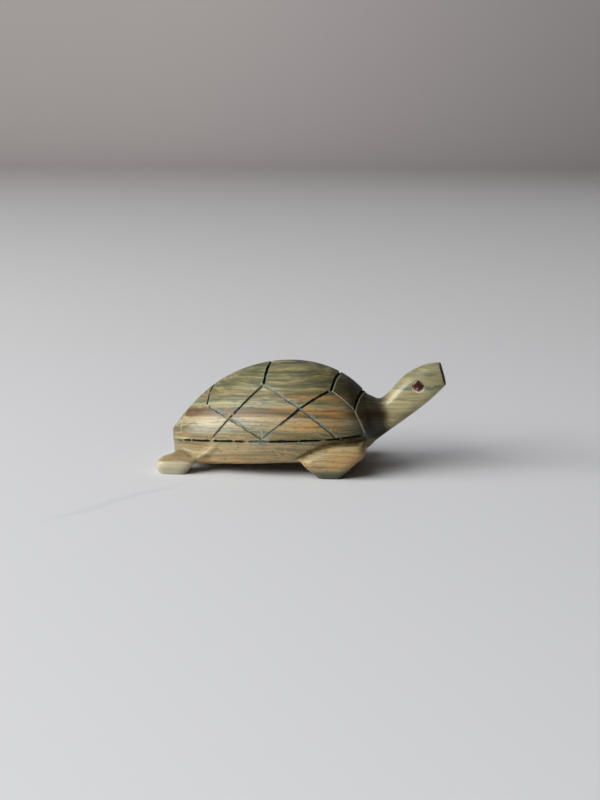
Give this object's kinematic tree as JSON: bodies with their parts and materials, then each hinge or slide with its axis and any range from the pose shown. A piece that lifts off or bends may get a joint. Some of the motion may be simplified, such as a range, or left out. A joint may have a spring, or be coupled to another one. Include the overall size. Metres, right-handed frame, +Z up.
{
  "type": "turtle figurine",
  "caption": "Small standing turtle carved from solid wood, with a domed shell scored by cut lines, a raised neck, flat-soled feet and round inset eye pegs; a shelf ornament.",
  "frame": {"origin": "on the surface the turtle stands on, under the middle of its overall box", "axes": "+X to the head, +Y to the turtle's left, +Z up"},
  "size_m": [0.09, 0.0476, 0.0339],
  "materials": {
    "carved_wood": "olive and brown grain along X, polished to a satin sheen",
    "eye_wood": "red-brown, polished"
  },
  "bodies": {
    "root": {"carved_body": "carved_wood", "right_eye_peg": "eye_wood", "left_eye_peg": "eye_wood"}
  },
  "joints": []
}
